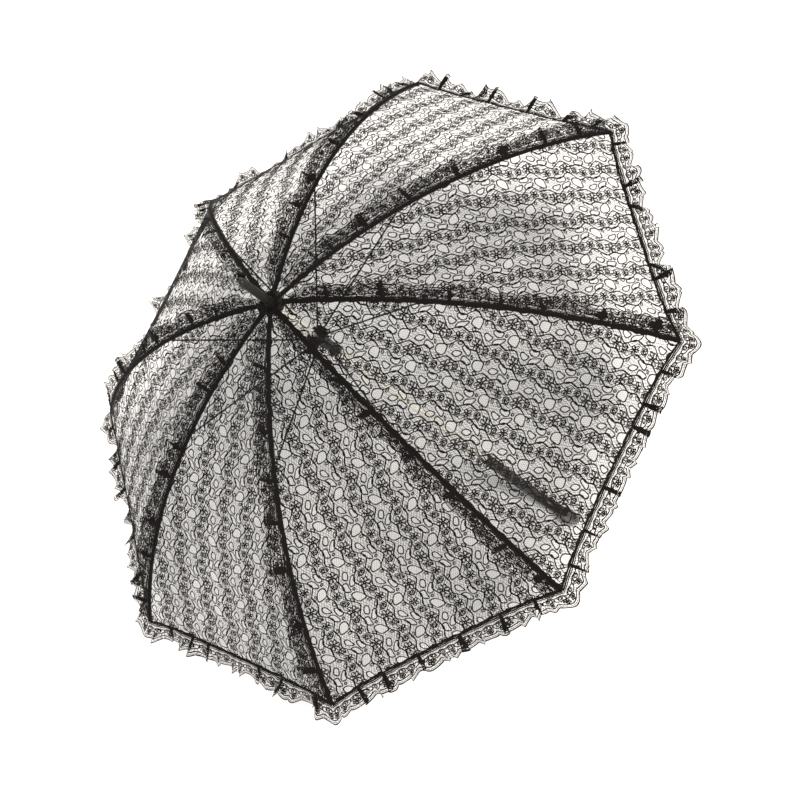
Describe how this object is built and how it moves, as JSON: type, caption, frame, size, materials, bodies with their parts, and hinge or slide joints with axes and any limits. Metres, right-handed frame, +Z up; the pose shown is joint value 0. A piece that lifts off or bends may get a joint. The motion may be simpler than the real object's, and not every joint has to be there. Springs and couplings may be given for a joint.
{
  "type": "lace parasol",
  "caption": "Small folding dress parasol, shown open: bowed wire ribs carry gathered floral lace with frilled hem and seams, on a plated tube with a crook handle.",
  "frame": {"origin": "middle of the straight hand grip, on the shaft's axis", "axes": "+Z up along the shaft towards the ferrule, +X towards the side that the crook bends to"},
  "size_m": [0.8202, 0.8202, 0.704],
  "materials": {
    "plated_steel": "bright nickel plate, thin drawn tube",
    "lacquered_wire": "black stoving lacquer on spring wire",
    "handle_plastic": "moulded, semi-gloss black",
    "ferrule_plastic": "moulded, semi-gloss olive black",
    "crown_plastic": "moulded black",
    "notch_plastic": "moulded black nylon",
    "canopy_lace": "warp-knitted floral lace, black polyester",
    "frill_lace": "gathered scalloped edging lace, black polyester"
  },
  "bodies": {
    "frame": {"shaft_tube": "plated_steel", "handle": "handle_plastic", "handle_pin": "plated_steel", "ferrule": "ferrule_plastic", "crown_cap": "crown_plastic", "crown_rosette": "frill_lace", "top_notch": "notch_plastic", "notch_wire": "plated_steel", "notch_pin": "plated_steel"},
    "runner": {"runner": "notch_plastic"},
    "top_catch": {"top_catch": "plated_steel"},
    "bottom_catch": {"bottom_catch": "plated_steel"},
    "rib_1_root": {"rib_1_root": "lacquered_wire"},
    "rib_1_tip": {"rib_1_tip": "lacquered_wire"},
    "stretcher_1": {"stretcher_1": "lacquered_wire"},
    "lace_1_left": {"lace_1_left": "canopy_lace", "rib_frill_1": "frill_lace"},
    "lace_1_right": {"lace_1_right": "canopy_lace"},
    "rib_2_root": {"rib_2_root": "lacquered_wire"},
    "rib_2_tip": {"rib_2_tip": "lacquered_wire"},
    "stretcher_2": {"stretcher_2": "lacquered_wire"},
    "lace_2_left": {"lace_2_left": "canopy_lace", "rib_frill_2": "frill_lace"},
    "lace_2_right": {"lace_2_right": "canopy_lace"},
    "rib_3_root": {"rib_3_root": "lacquered_wire"},
    "rib_3_tip": {"rib_3_tip": "lacquered_wire"},
    "stretcher_3": {"stretcher_3": "lacquered_wire"},
    "lace_3_left": {"lace_3_left": "canopy_lace"},
    "lace_3_right": {"lace_3_right": "canopy_lace", "rib_frill_3": "frill_lace"},
    "rib_4_root": {"rib_4_root": "lacquered_wire"},
    "rib_4_tip": {"rib_4_tip": "lacquered_wire"},
    "stretcher_4": {"stretcher_4": "lacquered_wire"},
    "lace_4_left": {"lace_4_left": "canopy_lace"},
    "lace_4_right": {"lace_4_right": "canopy_lace", "rib_frill_4": "frill_lace"},
    "rib_5_root": {"rib_5_root": "lacquered_wire"},
    "rib_5_tip": {"rib_5_tip": "lacquered_wire"},
    "stretcher_5": {"stretcher_5": "lacquered_wire"},
    "lace_5_left": {"lace_5_left": "canopy_lace"},
    "lace_5_right": {"lace_5_right": "canopy_lace", "rib_frill_5": "frill_lace"},
    "rib_6_root": {"rib_6_root": "lacquered_wire"},
    "rib_6_tip": {"rib_6_tip": "lacquered_wire"},
    "stretcher_6": {"stretcher_6": "lacquered_wire"},
    "lace_6_left": {"lace_6_left": "canopy_lace"},
    "lace_6_right": {"lace_6_right": "canopy_lace", "rib_frill_6": "frill_lace"},
    "rib_7_root": {"rib_7_root": "lacquered_wire"},
    "rib_7_tip": {"rib_7_tip": "lacquered_wire"},
    "stretcher_7": {"stretcher_7": "lacquered_wire"},
    "lace_7_left": {"lace_7_left": "canopy_lace", "rib_frill_7": "frill_lace"},
    "lace_7_right": {"lace_7_right": "canopy_lace"},
    "rib_8_root": {"rib_8_root": "lacquered_wire"},
    "rib_8_tip": {"rib_8_tip": "lacquered_wire"},
    "stretcher_8": {"stretcher_8": "lacquered_wire"},
    "lace_8_left": {"lace_8_left": "canopy_lace", "rib_frill_8": "frill_lace"},
    "lace_8_right": {"lace_8_right": "canopy_lace"}
  },
  "joints": [
    {"name": "runner_slide", "type": "slide", "parent": "frame", "child": "runner", "axis": [0, 0, -1], "range_m": [0, 0.24981], "deforming": ["top_catch", "bottom_catch"]},
    {"name": "top_catch_press", "type": "slide", "parent": "frame", "child": "top_catch", "axis": [-0.5807, -0.8141, 0], "range_m": [0, 0.0024], "stiffness_N_per_m": 400},
    {"name": "bottom_catch_press", "type": "slide", "parent": "frame", "child": "bottom_catch", "axis": [-0.5807, -0.8141, 0], "range_m": [0, 0.0024], "stiffness_N_per_m": 400},
    {"name": "rib_1_fold", "type": "hinge", "parent": "frame", "child": "rib_1_root", "pos_m": [0.00225, 0.00974, 0.536], "axis": [-0.9744, 0.225, 0], "range_deg": [0, 72.3]},
    {"name": "rib_1_flex", "type": "hinge", "parent": "rib_1_root", "child": "rib_1_tip", "pos_m": [0.04748, 0.20564, 0.47212], "axis": [0.9744, -0.225, 0], "range_deg": [0, 24.33]},
    {"name": "stretcher_1_pivot", "type": "hinge", "parent": "rib_1_root", "child": "stretcher_1", "pos_m": [0.03937, 0.17051, 0.48962], "axis": [0.9744, -0.225, 0], "range_deg": [0, 144.59]},
    {"name": "lace_1_left_fold", "type": "hinge", "parent": "rib_1_root", "child": "lace_1_left", "pos_m": [0.00225, 0.00974, 0.536], "axis": [0.3454, 0.855, -0.387], "range_deg": [0, 77.19], "deforming": ["lace_1_left", "rib_frill_1"]},
    {"name": "lace_1_right_fold", "type": "hinge", "parent": "rib_1_root", "child": "lace_1_right", "pos_m": [0.00225, 0.00974, 0.536], "axis": [-0.0644, -0.9198, 0.387], "range_deg": [0, 77.19], "deforming": ["lace_1_right"]},
    {"name": "rib_2_fold", "type": "hinge", "parent": "frame", "child": "rib_2_root", "pos_m": [0.00848, 0.0053, 0.536], "axis": [-0.5299, 0.848, 0], "range_deg": [0, 72.3]},
    {"name": "rib_2_flex", "type": "hinge", "parent": "rib_2_root", "child": "rib_2_tip", "pos_m": [0.17898, 0.11184, 0.47212], "axis": [0.5299, -0.848, 0], "range_deg": [0, 24.33]},
    {"name": "stretcher_2_pivot", "type": "hinge", "parent": "rib_2_root", "child": "stretcher_2", "pos_m": [0.14841, 0.09274, 0.48962], "axis": [0.5299, -0.848, 0], "range_deg": [0, 144.59]},
    {"name": "lace_2_left_fold", "type": "hinge", "parent": "rib_2_root", "child": "lace_2_left", "pos_m": [0.00848, 0.0053, 0.536], "axis": [0.8488, 0.3603, -0.387], "range_deg": [0, 77.19], "deforming": ["lace_2_left", "rib_frill_2"]},
    {"name": "lace_2_right_fold", "type": "hinge", "parent": "rib_2_root", "child": "lace_2_right", "pos_m": [0.00848, 0.0053, 0.536], "axis": [-0.6959, -0.6049, 0.387], "range_deg": [0, 77.19], "deforming": ["lace_2_right"]},
    {"name": "rib_3_fold", "type": "hinge", "parent": "frame", "child": "rib_3_root", "pos_m": [0.00974, -0.00225, 0.536], "axis": [0.225, 0.9744, 0], "range_deg": [0, 72.3]},
    {"name": "rib_3_flex", "type": "hinge", "parent": "rib_3_root", "child": "rib_3_tip", "pos_m": [0.20564, -0.04748, 0.47212], "axis": [-0.225, -0.9744, 0], "range_deg": [0, 24.33]},
    {"name": "stretcher_3_pivot", "type": "hinge", "parent": "rib_3_root", "child": "stretcher_3", "pos_m": [0.17051, -0.03937, 0.48962], "axis": [-0.225, -0.9744, 0], "range_deg": [0, 144.59]},
    {"name": "lace_3_left_fold", "type": "hinge", "parent": "rib_3_root", "child": "lace_3_left", "pos_m": [0.00974, -0.00225, 0.536], "axis": [0.855, -0.3454, -0.387], "range_deg": [0, 77.19], "deforming": ["lace_3_left"]},
    {"name": "lace_3_right_fold", "type": "hinge", "parent": "rib_3_root", "child": "lace_3_right", "pos_m": [0.00974, -0.00225, 0.536], "axis": [-0.9198, 0.0644, 0.387], "range_deg": [0, 77.19], "deforming": ["lace_3_right", "rib_frill_3"]},
    {"name": "rib_4_fold", "type": "hinge", "parent": "frame", "child": "rib_4_root", "pos_m": [0.0053, -0.00848, 0.536], "axis": [0.848, 0.5299, 0], "range_deg": [0, 72.3]},
    {"name": "rib_4_flex", "type": "hinge", "parent": "rib_4_root", "child": "rib_4_tip", "pos_m": [0.11184, -0.17898, 0.47212], "axis": [-0.848, -0.5299, 0], "range_deg": [0, 24.33]},
    {"name": "stretcher_4_pivot", "type": "hinge", "parent": "rib_4_root", "child": "stretcher_4", "pos_m": [0.09274, -0.14841, 0.48962], "axis": [-0.848, -0.5299, 0], "range_deg": [0, 144.59]},
    {"name": "lace_4_left_fold", "type": "hinge", "parent": "rib_4_root", "child": "lace_4_left", "pos_m": [0.0053, -0.00848, 0.536], "axis": [0.3603, -0.8488, -0.387], "range_deg": [0, 77.19], "deforming": ["lace_4_left"]},
    {"name": "lace_4_right_fold", "type": "hinge", "parent": "rib_4_root", "child": "lace_4_right", "pos_m": [0.0053, -0.00848, 0.536], "axis": [-0.6049, 0.6959, 0.387], "range_deg": [0, 77.19], "deforming": ["lace_4_right", "rib_frill_4"]},
    {"name": "rib_5_fold", "type": "hinge", "parent": "frame", "child": "rib_5_root", "pos_m": [-0.00225, -0.00974, 0.536], "axis": [0.9744, -0.225, 0], "range_deg": [0, 72.3]},
    {"name": "rib_5_flex", "type": "hinge", "parent": "rib_5_root", "child": "rib_5_tip", "pos_m": [-0.04748, -0.20564, 0.47212], "axis": [-0.9744, 0.225, 0], "range_deg": [0, 24.33]},
    {"name": "stretcher_5_pivot", "type": "hinge", "parent": "rib_5_root", "child": "stretcher_5", "pos_m": [-0.03937, -0.17051, 0.48962], "axis": [-0.9744, 0.225, 0], "range_deg": [0, 144.59]},
    {"name": "lace_5_left_fold", "type": "hinge", "parent": "rib_5_root", "child": "lace_5_left", "pos_m": [-0.00225, -0.00974, 0.536], "axis": [-0.3454, -0.855, -0.387], "range_deg": [0, 77.19], "deforming": ["lace_5_left"]},
    {"name": "lace_5_right_fold", "type": "hinge", "parent": "rib_5_root", "child": "lace_5_right", "pos_m": [-0.00225, -0.00974, 0.536], "axis": [0.0644, 0.9198, 0.387], "range_deg": [0, 77.19], "deforming": ["lace_5_right", "rib_frill_5"]},
    {"name": "rib_6_fold", "type": "hinge", "parent": "frame", "child": "rib_6_root", "pos_m": [-0.00848, -0.0053, 0.536], "axis": [0.5299, -0.848, 0], "range_deg": [0, 72.3]},
    {"name": "rib_6_flex", "type": "hinge", "parent": "rib_6_root", "child": "rib_6_tip", "pos_m": [-0.17898, -0.11184, 0.47212], "axis": [-0.5299, 0.848, 0], "range_deg": [0, 24.33]},
    {"name": "stretcher_6_pivot", "type": "hinge", "parent": "rib_6_root", "child": "stretcher_6", "pos_m": [-0.14841, -0.09274, 0.48962], "axis": [-0.5299, 0.848, 0], "range_deg": [0, 144.59]},
    {"name": "lace_6_left_fold", "type": "hinge", "parent": "rib_6_root", "child": "lace_6_left", "pos_m": [-0.00848, -0.0053, 0.536], "axis": [-0.8488, -0.3603, -0.387], "range_deg": [0, 77.19], "deforming": ["lace_6_left"]},
    {"name": "lace_6_right_fold", "type": "hinge", "parent": "rib_6_root", "child": "lace_6_right", "pos_m": [-0.00848, -0.0053, 0.536], "axis": [0.6959, 0.6049, 0.387], "range_deg": [0, 77.19], "deforming": ["lace_6_right", "rib_frill_6"]},
    {"name": "rib_7_fold", "type": "hinge", "parent": "frame", "child": "rib_7_root", "pos_m": [-0.00974, 0.00225, 0.536], "axis": [-0.225, -0.9744, 0], "range_deg": [0, 72.3]},
    {"name": "rib_7_flex", "type": "hinge", "parent": "rib_7_root", "child": "rib_7_tip", "pos_m": [-0.20564, 0.04748, 0.47212], "axis": [0.225, 0.9744, 0], "range_deg": [0, 24.33]},
    {"name": "stretcher_7_pivot", "type": "hinge", "parent": "rib_7_root", "child": "stretcher_7", "pos_m": [-0.17051, 0.03937, 0.48962], "axis": [0.225, 0.9744, 0], "range_deg": [0, 144.59]},
    {"name": "lace_7_left_fold", "type": "hinge", "parent": "rib_7_root", "child": "lace_7_left", "pos_m": [-0.00974, 0.00225, 0.536], "axis": [-0.855, 0.3454, -0.387], "range_deg": [0, 77.19], "deforming": ["lace_7_left", "rib_frill_7"]},
    {"name": "lace_7_right_fold", "type": "hinge", "parent": "rib_7_root", "child": "lace_7_right", "pos_m": [-0.00974, 0.00225, 0.536], "axis": [0.9198, -0.0644, 0.387], "range_deg": [0, 77.19], "deforming": ["lace_7_right"]},
    {"name": "rib_8_fold", "type": "hinge", "parent": "frame", "child": "rib_8_root", "pos_m": [-0.0053, 0.00848, 0.536], "axis": [-0.848, -0.5299, 0], "range_deg": [0, 72.3]},
    {"name": "rib_8_flex", "type": "hinge", "parent": "rib_8_root", "child": "rib_8_tip", "pos_m": [-0.11184, 0.17898, 0.47212], "axis": [0.848, 0.5299, 0], "range_deg": [0, 24.33]},
    {"name": "stretcher_8_pivot", "type": "hinge", "parent": "rib_8_root", "child": "stretcher_8", "pos_m": [-0.09274, 0.14841, 0.48962], "axis": [0.848, 0.5299, 0], "range_deg": [0, 144.59]},
    {"name": "lace_8_left_fold", "type": "hinge", "parent": "rib_8_root", "child": "lace_8_left", "pos_m": [-0.0053, 0.00848, 0.536], "axis": [-0.3603, 0.8488, -0.387], "range_deg": [0, 77.19], "deforming": ["lace_8_left", "rib_frill_8"]},
    {"name": "lace_8_right_fold", "type": "hinge", "parent": "rib_8_root", "child": "lace_8_right", "pos_m": [-0.0053, 0.00848, 0.536], "axis": [0.6049, -0.6959, 0.387], "range_deg": [0, 77.19], "deforming": ["lace_8_right"]}
  ],
  "couplings": [
    {"joint": "rib_1_fold", "follows": "runner_slide", "rad_per_m": 5.0507},
    {"joint": "rib_1_flex", "follows": "runner_slide", "rad_per_m": 1.6989},
    {"joint": "stretcher_1_pivot", "follows": "runner_slide", "rad_per_m": 10.101},
    {"joint": "lace_1_left_fold", "follows": "runner_slide", "rad_per_m": 5.3923},
    {"joint": "lace_1_right_fold", "follows": "runner_slide", "rad_per_m": 5.3923},
    {"joint": "rib_2_fold", "follows": "runner_slide", "rad_per_m": 5.0507},
    {"joint": "rib_2_flex", "follows": "runner_slide", "rad_per_m": 1.6989},
    {"joint": "stretcher_2_pivot", "follows": "runner_slide", "rad_per_m": 10.101},
    {"joint": "lace_2_left_fold", "follows": "runner_slide", "rad_per_m": 5.3923},
    {"joint": "lace_2_right_fold", "follows": "runner_slide", "rad_per_m": 5.3923},
    {"joint": "rib_3_fold", "follows": "runner_slide", "rad_per_m": 5.0507},
    {"joint": "rib_3_flex", "follows": "runner_slide", "rad_per_m": 1.6989},
    {"joint": "stretcher_3_pivot", "follows": "runner_slide", "rad_per_m": 10.101},
    {"joint": "lace_3_left_fold", "follows": "runner_slide", "rad_per_m": 5.3923},
    {"joint": "lace_3_right_fold", "follows": "runner_slide", "rad_per_m": 5.3923},
    {"joint": "rib_4_fold", "follows": "runner_slide", "rad_per_m": 5.0507},
    {"joint": "rib_4_flex", "follows": "runner_slide", "rad_per_m": 1.6989},
    {"joint": "stretcher_4_pivot", "follows": "runner_slide", "rad_per_m": 10.101},
    {"joint": "lace_4_left_fold", "follows": "runner_slide", "rad_per_m": 5.3923},
    {"joint": "lace_4_right_fold", "follows": "runner_slide", "rad_per_m": 5.3923},
    {"joint": "rib_5_fold", "follows": "runner_slide", "rad_per_m": 5.0507},
    {"joint": "rib_5_flex", "follows": "runner_slide", "rad_per_m": 1.6989},
    {"joint": "stretcher_5_pivot", "follows": "runner_slide", "rad_per_m": 10.101},
    {"joint": "lace_5_left_fold", "follows": "runner_slide", "rad_per_m": 5.3923},
    {"joint": "lace_5_right_fold", "follows": "runner_slide", "rad_per_m": 5.3923},
    {"joint": "rib_6_fold", "follows": "runner_slide", "rad_per_m": 5.0507},
    {"joint": "rib_6_flex", "follows": "runner_slide", "rad_per_m": 1.6989},
    {"joint": "stretcher_6_pivot", "follows": "runner_slide", "rad_per_m": 10.101},
    {"joint": "lace_6_left_fold", "follows": "runner_slide", "rad_per_m": 5.3923},
    {"joint": "lace_6_right_fold", "follows": "runner_slide", "rad_per_m": 5.3923},
    {"joint": "rib_7_fold", "follows": "runner_slide", "rad_per_m": 5.0507},
    {"joint": "rib_7_flex", "follows": "runner_slide", "rad_per_m": 1.6989},
    {"joint": "stretcher_7_pivot", "follows": "runner_slide", "rad_per_m": 10.101},
    {"joint": "lace_7_left_fold", "follows": "runner_slide", "rad_per_m": 5.3923},
    {"joint": "lace_7_right_fold", "follows": "runner_slide", "rad_per_m": 5.3923},
    {"joint": "rib_8_fold", "follows": "runner_slide", "rad_per_m": 5.0507},
    {"joint": "rib_8_flex", "follows": "runner_slide", "rad_per_m": 1.6989},
    {"joint": "stretcher_8_pivot", "follows": "runner_slide", "rad_per_m": 10.101},
    {"joint": "lace_8_left_fold", "follows": "runner_slide", "rad_per_m": 5.3923},
    {"joint": "lace_8_right_fold", "follows": "runner_slide", "rad_per_m": 5.3923}
  ]
}
